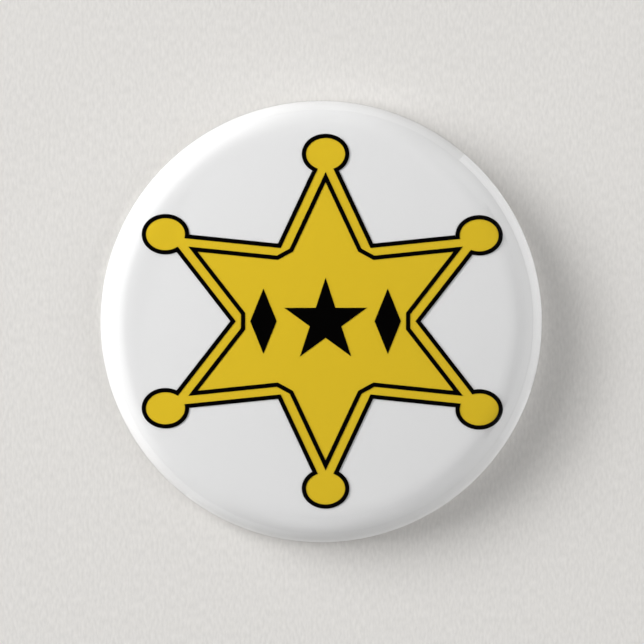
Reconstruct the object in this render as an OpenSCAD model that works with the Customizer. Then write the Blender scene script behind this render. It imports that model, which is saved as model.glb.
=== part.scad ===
// Round pinback button lying face up: a pressed steel face under a printed paper
// disc and a clear film, closed by a dished steel back that carries the pin.
// The face looks along +Z and the printed star's top point is towards +Y.
// The origin is the middle of the plane that the rim rests on.

/* [Button form] */
// Diameter over the edge
button_d = 57.15; // [54:0.05:60]
// Slope in degrees where the flat dome passes into the haunch
dome_end = 5; // [3:0.5:6]
// Slope in degrees where the haunch passes into the round edge
haunch_end = 11; // [9:0.5:14]
// Radius of the haunch
haunch_r = 12; // [9:0.5:14]
// Radius of the round edge
edge_r = 4.2; // [3.8:0.1:4.6]

/* [Rim underneath] */
// Radius of the curl under the edge
curl_r = 0.9; // [0.85:0.05:1.2]
// Width of the flat ring that the button rests on
land_w = 0.8; // [0.7:0.1:1.2]
// Radius of the turn-up inside that ring
hem_r = 0.8; // [0.75:0.05:1]
// Straight height of the hem above its turn-up
hem_rise = 0.4; // [0.3:0.1:0.6]

/* [Layers] */
// Thickness of the steel sheet of face and back
sheet_t = 0.2; // [0.16:0.01:0.22]
// Thickness of the clear film
film_t = 0.08; // [0.05:0.01:0.1]
// Thickness of the paper disc
paper_t = 0.12; // [0.08:0.01:0.14]
// Thickness of each layer of ink
ink_t = 0.02; // [0.01:0.005:0.03]
// Clearance between one layer and the next
layer_gap = 0.02; // [0.01:0.005:0.03]

/* [Printed star] */
// Radius of the outer star up to the middle of its line, along the vertical point
star_r = 22.42; // [18:0.02:22.6]
// Radius of the inner star up to the middle of its line
inner_star_r = 18.56; // [15:0.01:19]
// Distance from the middle to the flats that cut off the inner star's notches
bevel_r = 10; // [9.8:0.05:10.4]
// Sideways stretch of both stars
star_stretch = 1.0625; // [1:0.0025:1.08]
// Width of the black lines
line_w = 0.55; // [0.3:0.01:0.7]
// Width of a ball tip, up to the middle of its line
ball_w = 5.58; // [4.4:0.02:6]
// Height of a ball tip, up to the middle of its line
ball_h = 4.67; // [4:0.01:5.2]
// How far the print sits to the right of the button's middle
print_shift_x = 0.56; // [-0.6:0.01:0.6]
// How far the print sits above the button's middle
print_shift_y = 0.04; // [-0.6:0.01:0.6]

/* [Middle ornament] */
// Point radius of the five-pointed star
ornament_star_r = 5.6; // [4:0.1:6]
// Width of each lozenge
lozenge_w = 3.4; // [2:0.1:3.6]
// Height of each lozenge
lozenge_h = 8.4; // [4:0.1:9]
// Distance of each lozenge from the middle of the star
lozenge_x = 8; // [7.8:0.1:8.4]

/* [Back plate] */
// Height of the recess's floor above the rest plane
recess_h = 3.5; // [3.3:0.05:3.8]
// Radius of the recess at its floor
recess_floor_r = 22; // [21:0.1:22.4]
// Radius of the recess at its mouth
recess_mouth_r = 23.6; // [23.3:0.1:24]
// Radius of the plate's bends, at the middle of the sheet
plate_bend_r = 0.5; // [0.4:0.05:0.6]
// Length of each strap and of the catch along the wire
strap_l = 3; // [2:0.1:3.6]

/* [Pin] */
// Diameter of the pin wire
wire_d = 0.9; // [0.7:0.05:1]
// Distance between the wire's tail and its arm
pin_spread = 7; // [6:0.1:8]
// Angle by which the arm leans away from the back plate
pin_lean = 12; // [10:0.5:13]
// Length of the ground point
point_l = 3; // [2:0.1:4]

/* [Hidden] */
$fn = 360;

edge_radius = button_d / 2;

// Depth of each layer's outer face under the film's own outer face
black_depth = film_t + layer_gap;
gold_depth = black_depth + ink_t + layer_gap;
paper_depth = gold_depth + ink_t + layer_gap;
shell_depth = paper_depth + paper_t + layer_gap;
wrap_t = shell_depth + sheet_t;

// Centres of the arcs that the film's outer face follows, from the edge inwards: [radius, height]
edge_c = [edge_radius - edge_r, curl_r];
haunch_c = edge_c + (edge_r - haunch_r) * heading(90 - haunch_end);
dome_r = (haunch_c[0] + haunch_r * sin(dome_end)) / sin(dome_end);
dome_c = [0, haunch_c[1] + (haunch_r - dome_r) * cos(dome_end)];
curl_c = [edge_radius - curl_r, curl_r];
hem_c = [curl_c[0] - land_w, hem_r];
hem_face_r = hem_c[0] - hem_r;
hem_top = hem_r + hem_rise;
button_h = dome_c[1] + dome_r;

// Chords that stand for each arc of the section
dome_steps = 4;
haunch_steps = 3;
edge_steps = 16;
curl_steps = 8;

// Points of a star stand every 60 degrees from the top one, counted anticlockwise
point_step = 60;
// How far each ball tip sits from its star point, from the top one anticlockwise: [x, y]
ball_slip = [[0, -0.88], [0, 0], [0, 0], [0, 0.88], [-0.84, -0.15], [-0.84, -0.15]];
ball_steps = 36;
// Ratio of inner to outer radius that keeps a five-pointed star's edges in line
five_point_notch = 0.382;

// The plate's sheet runs on its middle line: floor, slope, shoulder and the flange inside the hem
seat_gap = 0.08;
floor_z = recess_h + sheet_t / 2;
shoulder_z = hem_top + seat_gap + sheet_t / 2;
flange_r = hem_face_r + wrap_t + 0.2 + sheet_t / 2;
flange_bend_r = 0.25 + sheet_t / 2;
flange_foot_z = 0.75;
bend_steps = 6;

wire_r = wire_d / 2;
wire_fit = 0.04;
tail_y = 4;
tail_z = recess_h - wire_r - wire_fit;
tail_end_x = 2.5;
turn_x = -14;
arm_end_x = 18.5;
arm_y = tail_y - pin_spread * cos(pin_lean);
arm_z = tail_z - pin_spread * sin(pin_lean);
strap_x = [-9.5, -1.5];
catch_x = 13;
catch_play = 0.12;
catch_lip = 0.6;

function heading(angle) = [cos(angle), sin(angle)];

function unit(v) = v / norm(v);

// Outward normal of the edge from a to b of an outline that runs anticlockwise
function outward(a, b) = let (d = unit(b - a)) [d[1], -d[0]];

// An outline moved outwards by a distance, with mitred corners
function grown(points, by) = [
    for (i = [0 : len(points) - 1])
        let (
            n = len(points),
            before = outward(points[(i + n - 1) % n], points[i]),
            after = outward(points[i], points[(i + 1) % n])
        )
        points[i] + by * (before + after) / (1 + before * after)
];

function stretched(points) = [for (p = points) [p[0] * star_stretch, p[1]]];

// Six-pointed star whose notches lie at half the radius of its points
function star_points(r) = stretched([
    for (k = [0 : 5])
        for (p = [r * heading(90 + k * point_step), r / 2 * heading(90 + (k + 0.5) * point_step)])
            p
]);

// The same star with each notch cut off by a flat at a given distance from the middle
function bevelled_star_points(r, flat) =
    let (half = (flat - r / 2) / (2 * cos(30) - 1))
    stretched([
        for (k = [0 : 5])
            let (notch = 90 + (k + 0.5) * point_step)
            for (p = [
                r * heading(90 + k * point_step),
                flat * heading(notch) + half * heading(notch - 90),
                flat * heading(notch) + half * heading(notch + 90)
            ])
                p
    ]);

function ball_centre(k) = star_points(star_r)[2 * k] + ball_slip[k];

function ellipse_points(centre, half_w, half_h) = [
    for (i = [0 : ball_steps - 1])
        let (a = 360 * i / ball_steps)
        centre + [half_w * cos(a), half_h * sin(a)]
];

// Middle line of a bent sheet: each corner is [point, bend radius], rounded with short chords
function rounded(corners) = [
    for (i = [0 : len(corners) - 1])
        let (p = corners[i][0], r = corners[i][1])
        if (i == 0 || i == len(corners) - 1) p
        else
            let (
                u = unit(corners[i - 1][0] - p),
                v = unit(corners[i + 1][0] - p),
                half = acos(u * v) / 2,
                centre = p + unit(u + v) * r / sin(half),
                start = p + u * r / tan(half) - centre,
                turn = (u[0] * v[1] - u[1] * v[0] > 0 ? -1 : 1) * (180 - 2 * half)
            )
            for (k = [0 : bend_steps])
                let (a = turn * k / bend_steps)
                centre + [start[0] * cos(a) - start[1] * sin(a), start[0] * sin(a) + start[1] * cos(a)]
];

// One side of a sheet whose middle line is given: the line shifted by a distance to its left
function shifted(line, by) = [
    for (i = [0 : len(line) - 1])
        let (
            before = i > 0 ? -outward(line[i - 1], line[i]) : -outward(line[i], line[i + 1]),
            after = i < len(line) - 1 ? -outward(line[i], line[i + 1]) : before
        )
        line[i] + by * (before + after) / (1 + before * after)
];

function reversed(list) = [for (i = [len(list) - 1 : -1 : 0]) list[i]];

// Points of an arc from one direction to another, without its first point
function arc(centre, r, from, to, steps) = [
    for (i = [1 : steps])
        centre + r * heading(from + (to - from) * i / steps)
];

// Section line at a depth under the film's outer face, from the middle to the widest point
function face_line(depth) = concat(
    [dome_c + (dome_r - depth) * heading(90)],
    arc(dome_c, dome_r - depth, 90, 90 - dome_end, dome_steps),
    arc(haunch_c, haunch_r - depth, 90 - dome_end, 90 - haunch_end, haunch_steps),
    arc(edge_c, edge_r - depth, 90 - haunch_end, 0, edge_steps)
);

// The same line from under the widest point round the rest ring to the end of the hem
function rim_line(depth) = concat(
    arc(curl_c, curl_r - depth, 0, -90, curl_steps),
    [hem_c - [0, hem_r - depth]],
    arc(hem_c, hem_r - depth, 270, 180, curl_steps),
    [[hem_face_r + depth, hem_top]]
);

// Section of a layer that follows the face and is wrapped round the edge to the hem
module wrap_section(depth, thick) {
    polygon(concat(
        face_line(depth), rim_line(depth),
        reversed(rim_line(depth + thick)), reversed(face_line(depth + thick))
    ));
}

// Section of a layer that ends at the button's widest line
module face_section(depth, thick) {
    polygon(concat(face_line(depth), reversed(face_line(depth + thick))));
}

module wrapped_layer(depth, thick) {
    rotate_extrude()
        wrap_section(depth, thick);
}

// A flat shape printed on the face as seen from above
module printed(depth) {
    intersection() {
        rotate_extrude()
            face_section(depth, ink_t);
        translate([print_shift_x, print_shift_y, curl_r])
            linear_extrude(height = button_h)
                children();
    }
}

module balls(half_w, half_h) {
    for (k = [0 : 5])
        polygon(ellipse_points(ball_centre(k), half_w, half_h));
}

// The star and its ball tips, with their outline moved outwards by a distance
module badge_shape(by) {
    polygon(grown(star_points(star_r), by));
    balls(ball_w / 2 + by, ball_h / 2 + by);
}

module lozenge(x) {
    polygon([
        [x - lozenge_w / 2, 0],
        [x, -lozenge_h / 2],
        [x + lozenge_w / 2, 0],
        [x, lozenge_h / 2]
    ]);
}

module shell() {
    color("silver")
        wrapped_layer(shell_depth, sheet_t);
}

module printed_disc() {
    color("whitesmoke")
        wrapped_layer(paper_depth, paper_t);
}

module star_gold() {
    color([0.86, 0.73, 0.16])
        printed(gold_depth)
            badge_shape(0);
}

module outer_outline() {
    color([0.05, 0.05, 0.05])
        printed(black_depth)
            difference() {
                badge_shape(line_w / 2);
                badge_shape(-line_w / 2);
            }
}

module inner_outline() {
    line = bevelled_star_points(inner_star_r, bevel_r);
    color([0.05, 0.05, 0.05])
        printed(black_depth)
            difference() {
                polygon(grown(line, line_w / 2));
                polygon(grown(line, -line_w / 2));
            }
}

module middle_star() {
    color([0.05, 0.05, 0.05])
        printed(black_depth)
            polygon([
                for (k = [0 : 9])
                    ornament_star_r * (k % 2 == 0 ? 1 : five_point_notch) * heading(90 + 36 * k)
            ]);
}

module left_lozenge() {
    color([0.05, 0.05, 0.05])
        printed(black_depth)
            lozenge(-lozenge_x);
}

module right_lozenge() {
    color([0.05, 0.05, 0.05])
        printed(black_depth)
            lozenge(lozenge_x);
}

module clear_film() {
    color([0.95, 0.97, 1, 0.15])
        wrapped_layer(0, film_t);
}

// Pressed tray of the back plate, with its flange turned down inside the hem
module plate_tray() {
    line = rounded([
        [[0, floor_z], 0],
        [[recess_floor_r, floor_z], plate_bend_r],
        [[recess_mouth_r, shoulder_z], plate_bend_r],
        [[flange_r, shoulder_z], flange_bend_r],
        [[flange_r, flange_foot_z], 0]
    ]);
    rotate_extrude()
        polygon(concat(shifted(line, -sheet_t / 2), reversed(shifted(line, sheet_t / 2))));
}

// Loop of sheet round a wire that runs along X, with legs up to the plate: [y, z] is the wire's middle
module sheet_loop(x, at, hole_r, far_leg, near_leg) {
    translate([x - strap_l / 2, at[0], at[1]])
        rotate([90, 0, 90])
            linear_extrude(height = strap_l) {
                difference() {
                    circle(r = hole_r + sheet_t);
                    circle(r = hole_r);
                    translate([-hole_r - sheet_t, 0])
                        square(2 * (hole_r + sheet_t));
                }
                translate([-hole_r - sheet_t, 0])
                    square([sheet_t, far_leg]);
                translate([hole_r, 0])
                    square([sheet_t, near_leg]);
            }
}

// Window left in the plate where a strap or the catch was pressed out
module window(x, y0, y1) {
    translate([x - strap_l / 2, y0, recess_h - sheet_t])
        cube([strap_l, y1 - y0, 3 * sheet_t]);
}

module back_plate() {
    strap_hole = wire_r + wire_fit;
    catch_hole = wire_r + catch_play;
    to_plate = recess_h + sheet_t - tail_z;
    color("lightsteelblue") {
        difference() {
            plate_tray();
            for (x = strap_x)
                window(x, tail_y - strap_hole, tail_y + strap_hole);
            window(catch_x, arm_y - catch_hole, arm_y + strap_l);
        }
        for (x = strap_x)
            sheet_loop(x, [tail_y, tail_z], strap_hole, to_plate, to_plate);
        sheet_loop(catch_x, [arm_y, arm_z], catch_hole, recess_h + sheet_t - arm_z, catch_lip);
    }
}

// Spring wire in one piece: tail under the straps, half turn, long arm and its point in the catch
module pin_wire() {
    color("gainsboro")
        translate([0, tail_y, tail_z])
            rotate([pin_lean, 0, 0]) {
                translate([turn_x, 0, 0])
                    rotate([0, 90, 0])
                        cylinder(h = tail_end_x - turn_x, r = wire_r);
                translate([turn_x, -pin_spread / 2, 0])
                    rotate([0, 0, 90])
                        rotate_extrude(angle = 180)
                            translate([pin_spread / 2, 0])
                                circle(r = wire_r);
                translate([turn_x, -pin_spread, 0])
                    rotate([0, 90, 0]) {
                        cylinder(h = arm_end_x - point_l - turn_x, r = wire_r);
                        translate([0, 0, arm_end_x - point_l - turn_x])
                            cylinder(h = point_l, r1 = wire_r, r2 = wire_r / 8);
                    }
            }
}

shell();
printed_disc();
star_gold();
outer_outline();
inner_outline();
middle_star();
left_lozenge();
right_lozenge();
clear_film();
back_plate();
pin_wire();
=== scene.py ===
# %% [markdown]
# # A round pinback button, lying face up
#
# A pinback button is a small sandwich. A pressed steel face carries a printed paper disc and
# a clear film, and all three are wrapped round the edge. A dished steel back is snapped in
# from behind, and it carries the spring wire pin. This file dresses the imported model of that
# button, one real layer at a time.

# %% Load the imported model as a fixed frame
import math
import random

import bpy
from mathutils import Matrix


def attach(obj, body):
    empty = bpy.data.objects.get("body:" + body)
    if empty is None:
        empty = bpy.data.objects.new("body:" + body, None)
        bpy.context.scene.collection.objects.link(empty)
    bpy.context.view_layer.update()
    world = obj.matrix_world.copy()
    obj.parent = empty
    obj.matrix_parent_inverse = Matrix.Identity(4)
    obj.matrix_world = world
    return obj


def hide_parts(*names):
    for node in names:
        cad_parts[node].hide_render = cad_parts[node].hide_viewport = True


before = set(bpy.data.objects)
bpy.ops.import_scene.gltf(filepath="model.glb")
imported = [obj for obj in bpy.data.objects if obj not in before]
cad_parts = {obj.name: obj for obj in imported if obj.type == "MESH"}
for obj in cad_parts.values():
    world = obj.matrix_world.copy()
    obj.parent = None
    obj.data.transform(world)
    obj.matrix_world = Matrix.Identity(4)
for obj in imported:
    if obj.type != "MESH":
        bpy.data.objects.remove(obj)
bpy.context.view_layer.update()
print("nodes of the frame:", sorted(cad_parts))

# %% [markdown]
# ## The camera
#
# The button was photographed from straight above, so the camera looks down the Z axis. A
# short lens would make the middle of the dome look larger than its edge, which the picture
# doesn't show. A very long lens from far away keeps the true proportions.

# %% Put the camera straight above
MM = 0.001
FRAME_WIDTH = 83.2 * MM
SENSOR, LENS = 36.0, 600.0
RIM_HEIGHT = 0.9 * MM
CAMERA_SHIFT = (0.1 * MM, -0.06 * MM)

camera_data = bpy.data.cameras.new("camera")
camera_data.lens, camera_data.sensor_width = LENS, SENSOR
camera = bpy.data.objects.new("camera", camera_data)
bpy.context.scene.collection.objects.link(camera)
camera.location = (*CAMERA_SHIFT, RIM_HEIGHT + FRAME_WIDTH * LENS / SENSOR)
bpy.context.scene.camera = camera
print("camera height:", round(camera.location.z, 3), "m")

# %% [markdown]
# ## Working in millimetres
#
# The paper is a tenth of a millimetre thick. In metres that is a ten-thousandth of a unit,
# which is as fine as Blender's tools tell two points apart. So each piece is modelled with
# one unit to the millimetre, and shrunk to its real size as its last step.

# %% Helpers to start and finish a piece
CREASE = math.radians(30)


def deselect_all():
    if bpy.context.object and bpy.context.object.mode != "OBJECT":
        bpy.ops.object.mode_set(mode="OBJECT")
    bpy.ops.object.select_all(action="DESELECT")


def pick(piece):
    """Makes a piece the only selected one, and the active one."""
    deselect_all()
    piece.select_set(True)
    bpy.context.view_layer.objects.active = piece


def apply_modifier(piece, kind, **settings):
    pick(piece)
    modifier = piece.modifiers.new(kind.lower(), kind)
    for setting, value in settings.items():
        setattr(modifier, setting, value)
    bpy.ops.object.modifier_apply(modifier=modifier.name)


def combine(piece, tool, operation):
    """Cuts, joins or meets a solid with another one, which is used up."""
    apply_modifier(piece, "BOOLEAN", object=tool, operation=operation, solver="EXACT")
    bpy.data.objects.remove(tool)


def to_real_size(piece, name):
    """Shrinks a finished piece from millimetres to metres, and smooths all but its creases."""
    piece.name = piece.data.name = name
    pick(piece)
    piece.scale = (MM, MM, MM)
    bpy.ops.object.transform_apply(location=True, rotation=True, scale=True)
    bpy.ops.object.shade_smooth_by_angle(angle=CREASE)
    size = [round(d / MM, 2) for d in piece.dimensions]
    print(name, size, "mm,", len(piece.data.polygons), "faces")


# %% [markdown]
# ## The section of the button
#
# Seen in section, the face is three arcs that run into each other: an almost flat dome, a
# short haunch and a tight round edge. Below the widest point the layers curl under to a
# flat ring, on which the button rests, and turn up into a short hem. Every layer follows
# the same line at its own depth, as the steel, paper and film do when a press wraps them
# together. So one function gives the line for any depth.

# %% The arcs of the section, as (radius, height) centres
EDGE_C, EDGE_R = (24.375, 0.9), 4.2
CURL_C, CURL_R = (27.675, 0.9), 0.9
HEM_C, HEM_R, HEM_TOP = (26.875, 0.8), 0.8, 1.2
DOME_END, HAUNCH_END, HAUNCH_R = 5, 11, 12.0
PRINT_END, RIM_START = 45, 30


def centre_before(centre, radius, new_radius, slope):
    """The centre of an arc that meets the next one at a slope in degrees, without a corner."""
    back = new_radius - radius
    return (
        centre[0] - back * math.sin(math.radians(slope)),
        centre[1] - back * math.cos(math.radians(slope)),
    )


HAUNCH_C = centre_before(EDGE_C, EDGE_R, HAUNCH_R, HAUNCH_END)
DOME_R = HAUNCH_R + HAUNCH_C[0] / math.sin(math.radians(DOME_END))
DOME_C = centre_before(HAUNCH_C, HAUNCH_R, DOME_R, DOME_END)
print("dome radius:", round(DOME_R, 1), "mm, height:", round(DOME_C[1] + DOME_R, 3), "mm")

# %% [markdown]
# The arcs are drawn as points, close together where the line bends tightly. Past the print,
# towards the rim, a layer may come up to another depth, so the arc's radius can change on
# the way.

# %% Points along the section
DOME_STEPS, HAUNCH_STEPS, EDGE_STEPS, RIM_STEPS = 24, 10, 22, 8
CURL_STEPS, HEM_STEPS = 16, 14


def arc(centre, radius, start, end, steps, end_radius=None):
    """Points along an arc between two directions in degrees, without the first point."""
    growth = 0 if end_radius is None else end_radius - radius
    points = []
    for i in range(1, steps + 1):
        a = math.radians(start + (end - start) * i / steps)
        r = radius + growth * i / steps
        points.append((centre[0] + r * math.cos(a), centre[1] + r * math.sin(a)))
    return points


def print_line(depth):
    """From the middle of the face to past the print, at a depth under the film's outer face."""
    return (
        [(0.0, DOME_C[1] + DOME_R - depth)]
        + arc(DOME_C, DOME_R - depth, 90, 90 - DOME_END, DOME_STEPS)
        + arc(HAUNCH_C, HAUNCH_R - depth, 90 - DOME_END, 90 - HAUNCH_END, HAUNCH_STEPS)
        + arc(EDGE_C, EDGE_R - depth, 90 - HAUNCH_END, PRINT_END, EDGE_STEPS)
    )


def wrap_line(depth, rim_depth):
    """The print line, carried on round the edge and the rest ring to the end of the hem."""
    return (
        print_line(depth)
        + arc(EDGE_C, EDGE_R - depth, PRINT_END, RIM_START, RIM_STEPS, EDGE_R - rim_depth)
        + arc(EDGE_C, EDGE_R - rim_depth, RIM_START, 0, CURL_STEPS)
        + arc(CURL_C, CURL_R - rim_depth, 0, -90, CURL_STEPS)
        + [(HEM_C[0], rim_depth)]
        + arc(HEM_C, HEM_R - rim_depth, 270, 180, HEM_STEPS)
        + [(HEM_C[0] - HEM_R + rim_depth, HEM_TOP)]
    )


print("points along a whole layer:", len(wrap_line(0, 0)))

# %% [markdown]
# ## Turning a layer
#
# A pressed round layer is a line turned about an axis. The line is drawn by extruding one
# vertex from point to point, and the spin tool turns it. The first and the last column of
# the spin and the fan at the middle lie on each other, so doubles are merged before the
# normals are made to agree. Solidify then gives the skin its thickness, inwards for the
# layers of the face, because their line is their outer face.

# %% Draw a line, and turn it into a layer
TURN_STEPS, DOUBLES = 192, 0.0005


def draw_line(points):
    """A mesh line through (x, y, z) points, drawn by extruding one vertex. Stays in edit mode."""
    deselect_all()
    bpy.ops.mesh.primitive_plane_add(size=1, location=(0, 0, 0))
    bpy.ops.object.mode_set(mode="EDIT")
    bpy.ops.mesh.select_mode(type="VERT")
    bpy.ops.mesh.merge(type="CENTER")
    bpy.ops.transform.translate(value=points[0])
    for before, after in zip(points, points[1:]):
        step = [b - a for a, b in zip(before, after)]
        bpy.ops.mesh.extrude_vertices_move(TRANSFORM_OT_translate={"value": step})
    return bpy.context.object


def spin(steps, angle):
    """Turns the line being edited about the Z axis."""
    bpy.ops.mesh.select_all(action="SELECT")
    bpy.ops.mesh.spin(steps=steps, angle=angle, center=(0, 0, 0), axis=(0, 0, 1))


def merge_doubles():
    bpy.ops.mesh.select_all(action="SELECT")
    bpy.ops.mesh.remove_doubles(threshold=DOUBLES)


def face_outwards():
    bpy.ops.mesh.select_all(action="SELECT")
    bpy.ops.mesh.normals_make_consistent(inside=False)


def turn(line, wall, shape=None, offset=-1):
    """Turns a section line about the Z axis, and gives it a wall inwards, or on both sides
    where the offset is 0. shape may work on the skin before that."""
    piece = draw_line([(r, 0, z) for r, z in line])
    spin(TURN_STEPS, math.tau)
    merge_doubles()
    face_outwards()
    if shape:
        shape(piece)
    bpy.ops.object.mode_set(mode="OBJECT")
    apply_modifier(piece, "SOLIDIFY", thickness=wall, offset=offset, use_even_offset=True)
    return piece


# %% [markdown]
# ## Pleats in the hem
#
# A flat disc has too much edge for the ring it is folded round, so paper and film gather
# there in fine pleats. They could be painted on as a bump, but they catch the light when
# the button is turned over, so they are real. Single columns of the hem are picked at
# random and drawn a little towards the middle, the same columns in both layers.

# %% Gather the hem
PLEAT_DEPTHS, PLEAT_GAPS, PLEAT_SEED = (0.03, 0.05, 0.07), (2, 2, 3, 4), 7
PLEAT_TOP, PLEAT_FOOT = 1.3, 0.12


def pleat_columns():
    """A seeded choice of columns that aren't neighbours, with the pleat's depth for each."""
    chance = random.Random(PLEAT_SEED)
    columns, at = {}, 0
    while at < TURN_STEPS - 2:
        columns[at] = chance.choice(PLEAT_DEPTHS)
        at += chance.choice(PLEAT_GAPS)
    return columns


def select_vertices(piece, wanted):
    """Selects the vertices whose place passes a test. Stays in edit mode."""
    bpy.ops.mesh.select_mode(type="VERT")
    bpy.ops.mesh.select_all(action="DESELECT")
    bpy.ops.object.mode_set(mode="OBJECT")
    for vertex in piece.data.vertices:
        vertex.select = wanted(vertex.co)
    bpy.ops.object.mode_set(mode="EDIT")


def gather(piece):
    columns = pleat_columns()
    for depth in PLEAT_DEPTHS:

        def in_pleat(co):
            column = round(math.atan2(co.y, co.x) / math.tau * TURN_STEPS) % TURN_STEPS
            low = PLEAT_FOOT < co.z < PLEAT_TOP and math.hypot(co.x, co.y) < HEM_C[0]
            return low and columns.get(column) == depth

        select_vertices(piece, in_pleat)
        shrink = 1 - depth / (HEM_C[0] - HEM_R)
        bpy.ops.transform.resize(value=(shrink, shrink, 1), center_override=(0, 0, 0))


print("pleats round the hem:", len(pleat_columns()))

# %% [markdown]
# ## Film and paper
#
# The clear film is the outermost layer and the paper disc lies under it. Both are wrapped
# right round to the hem. The film is a twentieth of a millimetre thick, and the paper is
# ordinary printing paper. Past the print the paper comes up close under the film, because
# there the white of the edge has to reach right out.

# %% Turn the film and the paper
FILM_T, PAPER_T, INK_T = 0.05, 0.12, 0.02
BLACK_DEPTH, YELLOW_DEPTH, PAPER_DEPTH, PAPER_RIM_DEPTH = 0.10, 0.14, 0.18, 0.06

film = turn(wrap_line(0, 0), FILM_T, gather)
to_real_size(film, "film")
paper = turn(wrap_line(PAPER_DEPTH, PAPER_RIM_DEPTH), PAPER_T, gather)
to_real_size(paper, "paper")

# %% [markdown]
# ## The printed star
#
# The print is a yellow six-pointed star with a ball on each point, inside a black line, and
# a second black line inside it. Each ink is a layer of its own that lies on the curved
# paper. It could be a pattern in the paper's material, but then it would be neither a part
# nor a sharp edge. So each shape is cut as a flat, extruded to a block, and met with a thin
# turned skin of ink, which leaves only the printed shape, curved as the face is.

# %% Flat shapes of the star
PRINT_SHIFT = (0.56, 0.04)
STAR_R, INNER_STAR_R, STRETCH = 22.42, 18.56, 1.0625
SIX_POINT_NOTCH = 0.5
BLOCK_FOOT, BLOCK_H = 4.0, 4.0


def flat_star(radius, points=6, notch=SIX_POINT_NOTCH):
    """A flat star with a point towards +Y: a circle with every second vertex drawn inwards."""
    deselect_all()
    bpy.ops.mesh.primitive_circle_add(
        vertices=2 * points, radius=radius, fill_type="NGON", location=(0, 0, BLOCK_FOOT)
    )
    star = bpy.context.object
    bpy.ops.object.transform_apply(location=True)

    def is_notch(co):
        steps = (math.atan2(co.y, co.x) - math.pi / 2) / (math.pi / points)
        return round(steps) % 2 == 1

    bpy.ops.object.mode_set(mode="EDIT")
    select_vertices(star, is_notch)
    bpy.ops.transform.resize(value=(notch, notch, 1), center_override=(0, 0, BLOCK_FOOT))
    return star


def flat_oval(x, y, width, height, corners):
    """A flat oval, or a lozenge where it has four corners."""
    deselect_all()
    bpy.ops.mesh.primitive_circle_add(
        vertices=corners, radius=1, fill_type="NGON", location=(x, y, BLOCK_FOOT)
    )
    oval = bpy.context.object
    oval.scale = (width / 2, height / 2, 1)
    bpy.ops.object.transform_apply(location=True, scale=True)
    return oval


def stretch_and_place(stretch=1.0):
    """Widens the flat shape being edited, and shifts it to where the print sits."""
    bpy.ops.mesh.select_all(action="SELECT")
    bpy.ops.transform.resize(value=(stretch, 1, 1), center_override=(0, 0, BLOCK_FOOT))
    bpy.ops.transform.translate(value=(*PRINT_SHIFT, 0))


# %% [markdown]
# A flat shape becomes a block by extruding it up through the face. A black line is such a
# block's upright walls alone. Solidify makes them as thick as the line is wide, half on each
# side, so the line runs along the edge of the yellow, as in print.

# %% Blocks and upright walls
LINE_W = 0.55


def extrude(*step):
    """Extrudes what is selected by a step in X, Y and Z."""
    bpy.ops.mesh.extrude_region_move(TRANSFORM_OT_translate={"value": step})


def block():
    """Extrudes the flat shape being edited up through the face, and leaves edit mode."""
    bpy.ops.mesh.select_all(action="SELECT")
    extrude(0, 0, BLOCK_H)
    face_outwards()
    bpy.ops.object.mode_set(mode="OBJECT")
    return bpy.context.object


def line_walls(shape):
    """Keeps a block's upright walls alone, as thick as the black line is wide."""
    pick(shape)
    bpy.ops.object.mode_set(mode="EDIT")
    bpy.ops.mesh.select_mode(type="FACE")
    bpy.ops.mesh.select_all(action="DESELECT")
    bpy.ops.object.mode_set(mode="OBJECT")
    for face in shape.data.polygons:
        face.select = abs(face.normal.z) > 0.5
    bpy.ops.object.mode_set(mode="EDIT")
    bpy.ops.mesh.delete(type="FACE")
    bpy.ops.object.mode_set(mode="OBJECT")
    apply_modifier(shape, "SOLIDIFY", thickness=LINE_W, offset=0, use_even_offset=True)
    return shape


# %% [markdown]
# ## Balls on the points
#
# The balls are ellipses, a little wider than high, and each sits at its own small distance
# from its star point. All six are added as circles, widened, joined into one object, and
# extruded together. The star block and the balls are then joined into one.

# %% The badge shape, and the first two inks
BALL_W, BALL_H, BALL_STEPS = 5.58, 4.67, 72
BALL_SLIP = [(0, -0.88), (0, 0), (0, 0), (0, 0.88), (-0.84, -0.15), (-0.84, -0.15)]


def ball_blocks():
    discs = []
    for k, slip in enumerate(BALL_SLIP):
        angle = math.radians(90 + 60 * k)
        x = STAR_R * math.cos(angle) * STRETCH + slip[0] + PRINT_SHIFT[0]
        y = STAR_R * math.sin(angle) + slip[1] + PRINT_SHIFT[1]
        discs.append(flat_oval(x, y, BALL_W, BALL_H, BALL_STEPS))
    for disc in discs:
        disc.select_set(True)
    bpy.ops.object.join()
    bpy.ops.object.mode_set(mode="EDIT")
    return block()


def badge_block():
    """The star and its balls as one block."""
    flat_star(STAR_R)
    stretch_and_place(STRETCH)
    star = block()
    combine(star, ball_blocks(), "UNION")
    return star


def ink(shape, depth, name):
    """Leaves only a block's shape of a thin turned skin of ink."""
    skin = turn(print_line(depth), INK_T)
    combine(skin, shape, "INTERSECT")
    to_real_size(skin, name)
    return skin


yellow_star = ink(badge_block(), YELLOW_DEPTH, "yellow_star")
outer_line = ink(line_walls(badge_block()), BLACK_DEPTH, "outer_line")

# %% [markdown]
# ## The inner line and the middle ornament
#
# The inner star has each notch cut off by a short flat. Bevelling a vertex cuts such a flat,
# so the six notches are bevelled before the star is stretched. In the middle stands a plain
# five-pointed star between two lozenges, a generic ornament.

# %% Cut the inner line and the ornament
NOTCH_FLAT = 10.0
ORNAMENT_R, ORNAMENT_NOTCH = 5.6, 0.382
LOZENGE_W, LOZENGE_H, LOZENGE_X = 3.4, 8.4, 8.0


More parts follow.
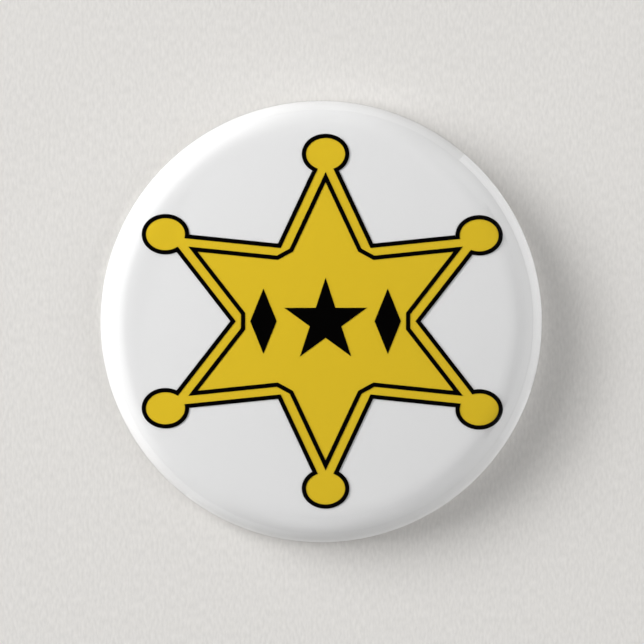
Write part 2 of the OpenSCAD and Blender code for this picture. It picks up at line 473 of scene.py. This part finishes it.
def inner_star_block():
    flat_star(INNER_STAR_R)
    notch = INNER_STAR_R * SIX_POINT_NOTCH
    half = (NOTCH_FLAT - notch) / (2 * math.cos(math.radians(30)) - 1)
    bpy.ops.mesh.bevel(
        affect="VERTICES",
        offset_type="OFFSET",
        offset=math.hypot(NOTCH_FLAT - notch, half),
        segments=1,
    )
    stretch_and_place(STRETCH)
    return block()


def lozenge_block(x):
    flat_oval(x, 0, LOZENGE_W, LOZENGE_H, 4)
    bpy.ops.object.mode_set(mode="EDIT")
    stretch_and_place()
    return block()


inner_line = ink(line_walls(inner_star_block()), BLACK_DEPTH, "inner_line")

flat_star(ORNAMENT_R, 5, ORNAMENT_NOTCH)
stretch_and_place()
star_ornament = ink(block(), BLACK_DEPTH, "star_ornament")
lozenge_left = ink(lozenge_block(-LOZENGE_X), BLACK_DEPTH, "lozenge_left")
lozenge_right = ink(lozenge_block(LOZENGE_X), BLACK_DEPTH, "lozenge_right")

# %% [markdown]
# ## The back plate
#
# The back is one pressing of tinplate: a flat shoulder, a sloping wall down to the floor of
# a recess, and a flange that grips inside the hem. Its bends are rounded, as a press leaves
# them. The line is drawn with the bends as short arcs and turned as the other layers are,
# but it runs along the middle of the sheet, so the wall is shared between its two sides.

# %% Round the bends of a line
BEND_STEPS = 10


def bend(before, corner, after, radius):
    """Points of the arc that rounds a corner of a line."""
    u = [a - c for a, c in zip(before, corner)]
    v = [a - c for a, c in zip(after, corner)]
    u = [x / math.hypot(*u) for x in u]
    v = [x / math.hypot(*v) for x in v]
    half = math.acos(u[0] * v[0] + u[1] * v[1]) / 2
    middle = [a + b for a, b in zip(u, v)]
    reach = radius / math.sin(half) / math.hypot(*middle)
    centre = [c + m * reach for c, m in zip(corner, middle)]
    start = [c + a * radius / math.tan(half) - o for c, a, o in zip(corner, u, centre)]
    sweep = math.pi - 2 * half
    if u[0] * v[1] - u[1] * v[0] > 0:
        sweep = -sweep
    points = []
    for i in range(BEND_STEPS + 1):
        a = sweep * i / BEND_STEPS
        x = centre[0] + start[0] * math.cos(a) - start[1] * math.sin(a)
        y = centre[1] + start[0] * math.sin(a) + start[1] * math.cos(a)
        points.append((x, y))
    return points


# %% Press the tray
SHEET_T = 0.2
FLOOR_Z, SHOULDER_Z, FLANGE_R, FLANGE_FOOT = 3.6, 1.38, 26.895, 0.75
RECESS_FLOOR_R, RECESS_MOUTH_R, BEND_R, FLANGE_BEND_R = 22.0, 23.6, 0.5, 0.35

corners = [
    (0.0, FLOOR_Z),
    (RECESS_FLOOR_R, FLOOR_Z),
    (RECESS_MOUTH_R, SHOULDER_Z),
    (FLANGE_R, SHOULDER_Z),
    (FLANGE_R, FLANGE_FOOT),
]
plate_line = (
    [corners[0]]
    + bend(*corners[0:3], BEND_R)
    + bend(*corners[1:4], BEND_R)
    + bend(*corners[2:5], FLANGE_BEND_R)
    + [corners[4]]
)
plate = turn(plate_line, SHEET_T, offset=0)
print("points along the plate's line:", len(plate_line))

# %% [markdown]
# ## Straps and catch
#
# The wire is held by two straps and a catch, which are tongues of the same sheet, pressed
# out and bent round it. Each leaves a window in the plate. A tongue is half a circle of
# sheet with straight legs, so it starts as a circle with its upper half deleted. The catch
# has one short leg, so that the wire can be pressed out of it.

# %% Where the wire lies
WIRE_R, WIRE_FIT, CATCH_PLAY, CATCH_LIP = 0.45, 0.04, 0.12, 0.6
TAIL_Y, TAIL_Z = 4.0, 3.01
PIN_SPREAD, PIN_LEAN = 7.0, math.radians(12)
ARM_Y = TAIL_Y - PIN_SPREAD * math.cos(PIN_LEAN)
ARM_Z = TAIL_Z - PIN_SPREAD * math.sin(PIN_LEAN)
print("the pin's arm lies at Y", round(ARM_Y, 2), "and Z", round(ARM_Z, 2), "mm")

# %% Punch the windows and bend the tongues
STRAP_L, STRAPS_X, CATCH_X = 3.0, (-9.5, -1.5), 13.0
PLATE_TOP = FLOOR_Z + SHEET_T / 2
LOOP_STEPS, NEARLY = 32, 0.001


def punch(x, y0, y1):
    """Cuts a window into the plate, as wide as a strap is long."""
    deselect_all()
    bpy.ops.mesh.primitive_cube_add(size=1, location=(x, (y0 + y1) / 2, FLOOR_Z))
    tool = bpy.context.object
    tool.scale = (STRAP_L, y1 - y0, 3 * SHEET_T)
    bpy.ops.object.transform_apply(location=True, scale=True)
    combine(plate, tool, "DIFFERENCE")


def tongue(x, y, z, hole_r, near_top):
    """A loop of sheet round a wire along X. The far leg, on the -Y side, reaches the plate."""
    deselect_all()
    bpy.ops.mesh.primitive_circle_add(
        vertices=LOOP_STEPS,
        radius=hole_r + SHEET_T / 2,
        location=(x - STRAP_L / 2, y, z),
        rotation=(0, math.pi / 2, 0),
    )
    loop = bpy.context.object
    bpy.ops.object.transform_apply(location=True, rotation=True)
    bpy.ops.object.mode_set(mode="EDIT")
    select_vertices(loop, lambda co: co.z > z + NEARLY)
    bpy.ops.mesh.delete(type="VERT")
    for side, top in ((-1, PLATE_TOP), (1, near_top)):
        select_vertices(loop, lambda co: co.z > z - NEARLY and (co.y - y) * side > 0)
        bpy.ops.mesh.extrude_vertices_move(TRANSFORM_OT_translate={"value": (0, 0, top - z)})
    bpy.ops.mesh.select_all(action="SELECT")
    extrude(STRAP_L, 0, 0)
    face_outwards()
    bpy.ops.object.mode_set(mode="OBJECT")
    apply_modifier(loop, "SOLIDIFY", thickness=SHEET_T, offset=0, use_even_offset=True)
    combine(plate, loop, "UNION")


strap_hole, catch_hole = WIRE_R + WIRE_FIT, WIRE_R + CATCH_PLAY
for strap_x in STRAPS_X:
    punch(strap_x, TAIL_Y - strap_hole, TAIL_Y + strap_hole)
punch(CATCH_X, ARM_Y - catch_hole, ARM_Y + STRAP_L)
for strap_x in STRAPS_X:
    tongue(strap_x, TAIL_Y, TAIL_Z, strap_hole, PLATE_TOP)
tongue(CATCH_X, ARM_Y, ARM_Z, catch_hole, ARM_Z + CATCH_LIP)
to_real_size(plate, "back_sheet")

# %% [markdown]
# ## The pin
#
# The pin is one length of spring wire: a tail under the straps, a half turn that acts as
# the spring, and a long arm that ends in a ground point. It starts as a circle at the end
# of the tail, is extruded along it, spun through the half turn, and extruded again.

# %% Bend the wire
WIRE_STEPS, HALF_TURN_STEPS = 24, 28
TAIL_END_X, TURN_X, POINT_START_X = 2.5, -14.0, 15.5
POINT_SHAPE = [(0.4, 0.86), (1.2, 0.62), (2.2, 0.3), (3.0, 0.06)]

deselect_all()
bpy.ops.mesh.primitive_circle_add(
    vertices=WIRE_STEPS,
    radius=WIRE_R,
    fill_type="NGON",
    location=(TAIL_END_X, TAIL_Y, TAIL_Z),
    rotation=(0, math.pi / 2, 0),
)
wire = bpy.context.object
bpy.ops.object.transform_apply(location=True, rotation=True)
bpy.ops.object.mode_set(mode="EDIT")
bpy.ops.mesh.select_all(action="SELECT")
extrude(TURN_X - TAIL_END_X, 0, 0)
bpy.ops.mesh.spin(
    steps=HALF_TURN_STEPS,
    angle=-math.pi,
    center=(TURN_X, (TAIL_Y + ARM_Y) / 2, (TAIL_Z + ARM_Z) / 2),
    axis=(0, -math.sin(PIN_LEAN), math.cos(PIN_LEAN)),
)
extrude(POINT_START_X - TURN_X, 0, 0)

# %% [markdown]
# The point is ground in four short lengths, each a little thinner than the one before.

# %% Grind the point
along, girth = 0.0, 1.0
for distance, share in POINT_SHAPE:
    extrude(distance - along, 0, 0)
    bpy.ops.transform.resize(
        value=(1, share / girth, share / girth),
        center_override=(POINT_START_X + distance, ARM_Y, ARM_Z),
    )
    along, girth = distance, share
merge_doubles()
face_outwards()
bpy.ops.object.mode_set(mode="OBJECT")
to_real_size(wire, "pin")

# %% [markdown]
# ## Materials
#
# Patterns could be images, but noise made in the material is sharp at any distance. All
# patterns are read from Object coordinates, so they stay with the piece in any view.

# %% Helpers for nodes
def new_material(name):
    """An empty material with an output, and its node tree."""
    material = bpy.data.materials.new(name)
    material.use_nodes = True
    tree = material.node_tree
    tree.nodes.clear()
    tree.nodes.new("ShaderNodeOutputMaterial")
    return material, tree


def node(tree, kind, links=(), **inputs):
    """Adds a node, sets its plain inputs, and links (input name, output socket) pairs."""
    new = tree.nodes.new("ShaderNode" + kind)
    for name, value in inputs.items():
        new.inputs[name.replace("_", " ")].default_value = value
    for name, source in links:
        tree.links.new(source, new.inputs[name])
    return new


def calc(tree, operation, *terms):
    """One step of arithmetic. Each term is a number or a socket."""
    new = tree.nodes.new("ShaderNodeMath")
    new.operation = operation
    for socket, term in zip(new.inputs, terms):
        if isinstance(term, (int, float)):
            socket.default_value = term
        else:
            tree.links.new(term, socket)
    return new.outputs[0]


def ramp(tree, value, start, end, low, high):
    """Maps start to end onto low to high, and holds these beyond the ends."""
    return node(
        tree,
        "MapRange",
        [("Value", value)],
        From_Min=start,
        From_Max=end,
        To_Min=low,
        To_Max=high,
    ).outputs[0]


def show(tree, shader):
    tree.links.new(shader, tree.nodes["Material Output"].inputs["Surface"])


# %% [markdown]
# Most finishes are a dull surface whose colour wanders between two shades. One noise gives
# the colour and a fine relief, so that both belong together.

# %% Helpers for patterns and dull surfaces
NOISE_LOW, NOISE_HIGH = 0.3, 0.7
RELIEF_STRENGTH, DULL_SPECULAR = 0.3, 0.1
MIX_FIRST, MIX_SECOND, MIX_RESULT = 6, 7, 2


def object_place(tree):
    """The place of the shaded point in object space."""
    return node(tree, "TexCoord").outputs["Object"]


def noise(tree, scale, stretch=(1, 1, 1), detail=4.0):
    """Noise in object space, whose grains are 1/scale metres, longer where stretch is under 1."""
    mapping = node(tree, "Mapping", [("Vector", object_place(tree))], Scale=stretch)
    return node(
        tree, "TexNoise", [("Vector", mapping.outputs[0])], Scale=scale, Detail=detail
    ).outputs["Fac"]


def spread(tree, value, low, high):
    """Maps the range in which most noise lies onto low to high."""
    return ramp(tree, value, NOISE_LOW, NOISE_HIGH, low, high)


def blend_colours(tree, factor, first, second):
    """Mixes two colours. A Mix node's colour sockets are known by their numbers alone."""
    mix = tree.nodes.new("ShaderNodeMix")
    mix.data_type = "RGBA"
    tree.links.new(factor, mix.inputs["Factor"])
    mix.inputs[MIX_FIRST].default_value = (*first, 1)
    mix.inputs[MIX_SECOND].default_value = (*second, 1)
    return mix.outputs[MIX_RESULT]


def bump(tree, height, distance, strength=RELIEF_STRENGTH):
    return node(
        tree, "Bump", [("Height", height)], Distance=distance, Strength=strength
    ).outputs[0]


def dull(tree, factor, shades, height, relief, roughness):
    """A dull surface: a factor picks between two shades, and a height gives the relief."""
    colour = ("Base Color", blend_colours(tree, factor, *shades))
    normal = ("Normal", bump(tree, height, relief))
    shader = node(
        tree,
        "BsdfPrincipled",
        [colour, normal],
        Roughness=roughness,
        Specular_IOR_Level=DULL_SPECULAR,
    )
    show(tree, shader.outputs[0])


def dress(piece, material, node_name):
    """Gives a piece its material, and says which solid it stands for and which finish it has."""
    piece.data.materials.clear()
    piece.data.materials.append(material)
    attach(piece, "root")
    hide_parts(node_name)
    print(piece.name, "wears", material.name, "in place of", node_name)


# %% [markdown]
# ## Clear film
#
# Clear film lets the light through and mirrors a little of it, more of it where the film is
# seen at a flat angle. A glass shader would do both, but a path tracer finds little light
# behind glass. So the film is transparent, with a mirror mixed in by the Fresnel share, on
# its outer face only. It casts no shadow, as real film lets the light through to the paper.

# %% Clear film
FILM_INDEX, FILM_ROUGHNESS = 1.64, 0.025
RIPPLE_SCALE, RIPPLE_DETAIL, RIPPLE_RELIEF, RIPPLE_STRENGTH = 600, 1.0, 2e-6, 0.4

film_material, tree = new_material("clear film")
waves = noise(tree, RIPPLE_SCALE, detail=RIPPLE_DETAIL)
ripple = bump(tree, waves, RIPPLE_RELIEF, RIPPLE_STRENGTH)
mirror = node(tree, "BsdfAnisotropic", [("Normal", ripple)], Roughness=FILM_ROUGHNESS)
fresnel = node(tree, "Fresnel", [("Normal", ripple)], IOR=FILM_INDEX)
geometry = node(tree, "NewGeometry")
front = calc(tree, "SUBTRACT", 1.0, geometry.outputs["Backfacing"])
share = calc(tree, "MULTIPLY", fresnel.outputs[0], front)
clear = node(tree, "BsdfTransparent")
film_mix = tree.nodes.new("ShaderNodeMixShader")
tree.links.new(share, film_mix.inputs[0])
tree.links.new(clear.outputs[0], film_mix.inputs[1])
tree.links.new(mirror.outputs[0], film_mix.inputs[2])
show(tree, film_mix.outputs[0])
dress(film, film_material, "clear_film")
film.visible_shadow = False

# %% [markdown]
# ## White paper
#
# Printing paper is a plain white whose fibres lie more along the way it was made. Stretched
# noise gives such fibres, fine enough to be felt more than seen.

# %% White paper
FIBRE_SCALE, FIBRE_STRETCH, FIBRE_RELIEF, PAPER_ROUGHNESS = 9000, (1, 0.35, 1), 3e-6, 0.75
PAPER_WHITES = (0.812, 0.812, 0.812), (0.842, 0.842, 0.842)

paper_material, tree = new_material("white paper")
fibres = noise(tree, FIBRE_SCALE, FIBRE_STRETCH)
dull(tree, fibres, PAPER_WHITES, fibres, FIBRE_RELIEF, PAPER_ROUGHNESS)
dress(paper, paper_material, "printed_disc")

# %% [markdown]
# ## Inks
#
# Printing ink is nearly even, with a faint mottle. Black and yellow differ in their shades
# only, so one function makes both.

# %% Inks
MOTTLE_SCALE, MOTTLE_RELIEF, INK_ROUGHNESS = 5000, 2e-6, 0.6
YELLOWS = (0.748, 0.525, 0.0235), (0.788, 0.555, 0.0275)
BLACKS = (0.0006, 0.0005, 0.0005), (0.0016, 0.0013, 0.0013)


def ink_material(name, shades):
    material, tree = new_material(name)
    mottle = noise(tree, MOTTLE_SCALE)
    dull(tree, mottle, shades, mottle, MOTTLE_RELIEF, INK_ROUGHNESS)
    return material


yellow_ink = ink_material("yellow ink", YELLOWS)
black_ink = ink_material("black ink", BLACKS)
dress(yellow_star, yellow_ink, "star_gold")
dress(outer_line, black_ink, "outer_outline")
dress(inner_line, black_ink, "inner_outline")
dress(star_ornament, black_ink, "middle_star")
dress(lozenge_left, black_ink, "left_lozenge")
dress(lozenge_right, black_ink, "right_lozenge")

# %% [markdown]
# ## Tinplate and wire
#
# Tinplate has long rolling marks along the sheet, and drawn wire has them along its length.
# Noise stretched along X gives both, and it drives the roughness, so that the marks show
# in what the metal mirrors. The shell needs no new shape, so it only gets the tinplate.

# %% Tinplate and wire
CLOUD_SCALE, METAL_RELIEF, METAL_RELIEF_STRENGTH = 160, 3e-6, 0.4
GRAIN_DETAIL = 5.0
TIN_SHADES, TIN_ROUGHNESS = ((0.72, 0.73, 0.74), (0.82, 0.82, 0.82)), (0.24, 0.36)
TIN_SCALE, TIN_STRETCH = 5000, (0.02, 1, 0.02)
WIRE_SHADES, WIRE_ROUGHNESS = ((0.62, 0.62, 0.63), (0.72, 0.72, 0.72)), (0.18, 0.34)
WIRE_SCALE, WIRE_STRETCH = 9000, (0.02, 1, 1)


def metal_material(name, shades, scale, stretch, roughness):
    material, tree = new_material(name)
    grain = noise(tree, scale, stretch, GRAIN_DETAIL)
    clouds = noise(tree, CLOUD_SCALE)
    colour = ("Base Color", blend_colours(tree, clouds, *shades))
    marks = ("Roughness", spread(tree, grain, *roughness))
    normal = ("Normal", bump(tree, grain, METAL_RELIEF, METAL_RELIEF_STRENGTH))
    shader = node(tree, "BsdfPrincipled", [colour, marks, normal], Metallic=1.0)
    show(tree, shader.outputs[0])
    return material


tinplate = metal_material("tinplate", TIN_SHADES, TIN_SCALE, TIN_STRETCH, TIN_ROUGHNESS)
spring_wire = metal_material(
    "spring wire", WIRE_SHADES, WIRE_SCALE, WIRE_STRETCH, WIRE_ROUGHNESS
)
dress(plate, tinplate, "back_plate")
dress(wire, spring_wire, "pin_wire")
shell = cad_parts["shell"]
shell.data.materials.clear()
shell.data.materials.append(tinplate)

# %% [markdown]
# ## The floor
#
# The button lies on a pale board with a faint grain. A perfectly even floor would look
# unreal beside the grain of a photograph, so stretched noise gives it light streaks.

# %% Lay the floor
FLOOR_SIZE, FLOOR_ROUGHNESS = 3, 0.9
STREAK_SCALE, STREAK_STRETCH, STREAK_RELIEF = 3000, (1, 0.34, 1), 2e-5
FLOOR_SHADES = (0.748, 0.731, 0.706), (0.835, 0.816, 0.789)

deselect_all()
bpy.ops.mesh.primitive_plane_add(size=FLOOR_SIZE, location=(0, 0, 0))
floor = bpy.context.object
floor.name = "floor"
floor_material, tree = new_material("pale floor")
streaks = noise(tree, STREAK_SCALE, STREAK_STRETCH)
streak_share = spread(tree, streaks, 0, 1)
dull(tree, streak_share, FLOOR_SHADES, streaks, STREAK_RELIEF, FLOOR_ROUGHNESS)
floor.data.materials.append(floor_material)
print("floor:", FLOOR_SIZE, "m wide")

# %% [markdown]
# ## The lights
#
# A broad low light from the left makes the left edge bright and throws a soft shadow to the
# right. One lamp would do, but in the photograph the light is stronger at some heights than
# at others, so it is stacked from four lamps, each with a strength of its own. Weak fills
# from the right keep that side readable, and very low ones light the foot of the edge. Only
# one weak light is mirrored, because a mirrored light lays a grey veil over the black ink.

# %% Place the lights
LIGHT_DISTANCE = 1.5
LIGHTS = [
    # name, azimuth, elevation, width and height in degrees, radiance, mirrored
    ("key mirrored", 160, 13, 50, 8, 1.7, True),
    ("key low", 160, 13, 50, 8, 7.75, False),
    ("key middle", 160, 21, 50, 8, 18.2, False),
    ("key high", 160, 30, 50, 10, 7.65, False),
    ("key top", 160, 42, 50, 14, 1.4, False),
    ("top", 340, 72, 30, 30, 0.35, False),
    ("fill side", 345, 30, 56, 18, 2.2, False),
    ("fill side top", 345, 50, 56, 18, 2.65, False),
    ("fill back", 45, 24, 56, 18, 0.6, False),
    ("card side", 0, 2.5, 56, 5, 2.0, False),
    ("card back", 60, 2.5, 56, 5, 5.5, False),
    ("card front", 300, 2.5, 56, 5, 1.4, False),
]


def softbox(name, azimuth, elevation, width, height, radiance, mirrored):
    """A soft area light that faces the button. Its place and its size are angles in degrees."""
    data = bpy.data.lights.new(name, "AREA")
    data.shape = "RECTANGLE"
    data.size = 2 * LIGHT_DISTANCE * math.tan(math.radians(width / 2))
    data.size_y = 2 * LIGHT_DISTANCE * math.tan(math.radians(height / 2))
    data.energy = radiance * math.pi * data.size * data.size_y
    lamp = bpy.data.objects.new(name, data)
    bpy.context.scene.collection.objects.link(lamp)
    a, e = math.radians(azimuth), math.radians(elevation)
    lamp.location = (
        LIGHT_DISTANCE * math.cos(e) * math.cos(a),
        LIGHT_DISTANCE * math.cos(e) * math.sin(a),
        LIGHT_DISTANCE * math.sin(e),
    )
    lamp.rotation_euler = (math.pi / 2 - e, 0, a + math.pi / 2)
    lamp.visible_camera = False
    lamp.visible_glossy = mirrored


for light in LIGHTS:
    softbox(*light)
print("lights:", len(LIGHTS))

# %% [markdown]
# ## What the film mirrors
#
# Film shows its gloss by what it mirrors, and seen from above its edge mirrors what lies and
# stands beside the button. Three glowing sheets are put there for that alone. They are
# hidden from the camera and light nothing. Each is an open sheet: a straight line between
# two (radius, height) ends, spun part of the way round.

# %% Helpers for sheets that only mirrors show
def spun_sheet(ends, start, end, steps, name):
    """Spins a line between two (radius, height) ends from one azimuth to another."""
    x, y = math.cos(math.radians(start)), math.sin(math.radians(start))
    sheet = draw_line([(r * x, r * y, z) for r, z in ends])
    spin(steps, math.radians(start - end))
    bpy.ops.object.mode_set(mode="OBJECT")
    to_real_size(sheet, name)
    return sheet


def only_in_mirrors(sheet, material):
    """Gives a sheet its glow, and hides it from all but mirrors."""
    sheet.data.materials.append(material)
    sheet.visible_camera = sheet.visible_diffuse = False
    sheet.visible_shadow = sheet.visible_transmission = False


def vector_calc(tree, operation, vector, other=(0, 0, 0)):
    """A number made of one vector, such as its length, or of two."""
    new = tree.nodes.new("ShaderNodeVectorMath")
    new.operation = operation
    tree.links.new(vector, new.inputs[0])
    new.inputs[1].default_value = other
    return new.outputs["Value"]


def split(tree, vector):
    """The X, Y and Z of a vector."""
    return node(tree, "SeparateXYZ", [("Vector", vector)]).outputs


# %% [markdown]
# A card lies flat to the right of the button. It shows as the bright band that the film
# mirrors on its right edge. The film mirrors more the steeper it stands, so the card is
# dimmer close to the button. It also grows dimmer towards the front, as the photographed
# band does.

# %% Lay the mirrored card
CARD_NEAR, CARD_FAR, CARD_Z = 29.2, 200.0, 0.3
CARD_START, CARD_END, CARD_STEPS = -33.0, 49.5, 26
CARD_DIM, CARD_BRIGHT, CARD_EVEN_FROM = 0.78, 1.6, 36.0
CARD_FRONT_SHARE, CARD_BACK_SHARE, CARD_SLANT = 0.65, 1.5, 0.5

card_ends = (CARD_NEAR, CARD_Z), (CARD_FAR, CARD_Z)
card = spun_sheet(card_ends, CARD_START, CARD_END, CARD_STEPS, "mirrored_card")
card_material, tree = new_material("mirrored card")
place = object_place(tree)
distance = vector_calc(tree, "LENGTH", place)
glow = ramp(tree, distance, CARD_NEAR * MM, CARD_EVEN_FROM * MM, CARD_DIM, CARD_BRIGHT)
slant = calc(tree, "DIVIDE", split(tree, place)["Y"], distance)
slant = ramp(tree, slant, -CARD_SLANT, CARD_SLANT, CARD_FRONT_SHARE, CARD_BACK_SHARE)
strength = calc(tree, "MULTIPLY", glow, slant)
show(tree, node(tree, "Emission", [("Strength", strength)]).outputs[0])
only_in_mirrors(card, card_material)

# %% [markdown]
# Further round, in front, the photographed edge shows a fine pale line at its very rim. The
# steepest part of the film mirrors what lies right beside the button, so a narrow strip is
# laid there, which grows dimmer outwards. It is clear, and only adds its own light, so that
# the floor behind it is still mirrored.

# %% Lay the strip for the rim line
STRIP_NEAR, STRIP_FAR, STRIP_Z = 28.9, 34.0, 0.32
STRIP_START, STRIP_END, STRIP_STEPS = -128.0, -18.0, 30
STRIP_RADIANCE, STRIP_FADE_FROM, STRIP_FADE_TO = 0.42, 30.2, 32.4


def clear_glow(tree, strength):
    """A clear surface that only adds its own light."""
    added = tree.nodes.new("ShaderNodeAddShader")
    tree.links.new(node(tree, "BsdfTransparent").outputs[0], added.inputs[0])
    emission = node(tree, "Emission", [("Strength", strength)])
    tree.links.new(emission.outputs[0], added.inputs[1])
    return added.outputs[0]


strip_ends = (STRIP_NEAR, STRIP_Z), (STRIP_FAR, STRIP_Z)
strip = spun_sheet(strip_ends, STRIP_START, STRIP_END, STRIP_STEPS, "rim_strip")
strip_material, tree = new_material("rim strip")
distance = vector_calc(tree, "LENGTH", object_place(tree))
fade = ramp(tree, distance, STRIP_FADE_FROM * MM, STRIP_FADE_TO * MM, STRIP_RADIANCE, 0)
show(tree, clear_glow(tree, fade))
only_in_mirrors(strip, strip_material)

# %% [markdown]
# The turn of the edge just inside the band is pale too, because the film mirrors what stands
# beside the button there. A low clear screen with a faint glow stands close round the right
# side. It fades out upwards and sideways, so that it has no edge to be seen.

# %% Stand the glowing screen
SCREEN_R, SCREEN_FOOT, SCREEN_TOP = 29.0, 4.0, 12.5
SCREEN_AZIMUTH, SCREEN_REACH, SCREEN_STEPS = -25.0, 88.0, 32

screen_ends = (SCREEN_R, SCREEN_FOOT), (SCREEN_R, SCREEN_TOP)
screen = spun_sheet(
    screen_ends,
    SCREEN_AZIMUTH - SCREEN_REACH,
    SCREEN_AZIMUTH + SCREEN_REACH,
    SCREEN_STEPS,
    "glowing_screen",
)

# %% [markdown]
# The screen is lower in two places, where the right-hand balls would mirror it, because
# their outlines stay black. Two ramps of height give the tall and the short glow, and the
# distance from the middle of a dip says which of them holds.

# %% Light the screen, with two dips
SCREEN_EVEN, SCREEN_RADIANCE = 6.9, 1.4
SCREEN_FOOT_TOP, SCREEN_FOOT_SHARE = 5.6, 0.5
SIDE_FROM, SIDE_TO = 0.05 * SCREEN_R, 0.35 * SCREEN_R
DIP_TOP, DIP_PLACE = 7.4, 0.482 * SCREEN_R
DIP_FROM, DIP_TO = 0.075 * SCREEN_R, 0.11 * SCREEN_R


def mm_ramp(tree, value, start, end, low, high):
    """A ramp whose start and end are in millimetres."""
    return ramp(tree, value, start * MM, end * MM, low, high)


screen_material, tree = new_material("glowing screen")
place = object_place(tree)
parts = split(tree, place)
aim = math.radians(SCREEN_AZIMUTH)
facing = vector_calc(tree, "DOT_PRODUCT", place, (math.cos(aim), math.sin(aim), 0))
sideways = mm_ramp(tree, facing, SIDE_FROM, SIDE_TO, 0, 1)
from_dip = calc(tree, "ABSOLUTE", parts["Y"])
from_dip = calc(tree, "SUBTRACT", from_dip, DIP_PLACE * MM)
beside_dip = mm_ramp(tree, calc(tree, "ABSOLUTE", from_dip), DIP_FROM, DIP_TO, 0, 1)
tall = mm_ramp(tree, parts["Z"], SCREEN_TOP, SCREEN_EVEN, 0, SCREEN_RADIANCE)
short = mm_ramp(tree, parts["Z"], DIP_TOP, SCREEN_EVEN, 0, SCREEN_RADIANCE)
foot = mm_ramp(tree, parts["Z"], SCREEN_FOOT, SCREEN_FOOT_TOP, SCREEN_FOOT_SHARE, 1)
strength = calc(tree, "MULTIPLY", calc(tree, "SUBTRACT", tall, short), beside_dip)
strength = calc(tree, "MULTIPLY", calc(tree, "ADD", strength, short), sideways)
strength = calc(tree, "MULTIPLY", strength, foot)
show(tree, clear_glow(tree, strength))
only_in_mirrors(screen, screen_material)
print("the screen's glow fades between", SCREEN_EVEN, "and", SCREEN_TOP, "mm up")

# %% [markdown]
# ## The room
#
# The world stands for the walls of a dim room. Near the horizon they glow faintly, and the
# ceiling is dark, because the top of the dome mirrors it and the ink there stays black.

# %% A pale horizon under a dark ceiling
WALL_RADIANCE, WALL_TOP, CEILING_START = 0.07, 0.45, 0.65
WALL_COLOUR = (1.0, 0.995, 0.985, 1)

world = bpy.data.worlds.new("studio")
bpy.context.scene.world = world
world.use_nodes = True
tree = world.node_tree
direction = node(tree, "TexCoord").outputs["Generated"]
wall = ramp(tree, split(tree, direction)["Z"], WALL_TOP, CEILING_START, WALL_RADIANCE, 0)
background = tree.nodes["Background"]
background.inputs["Color"].default_value = WALL_COLOUR
tree.links.new(wall, background.inputs["Strength"])
bpy.context.scene.view_settings.view_transform = "Standard"
print("walls of radiance", WALL_RADIANCE, "under a dark ceiling")
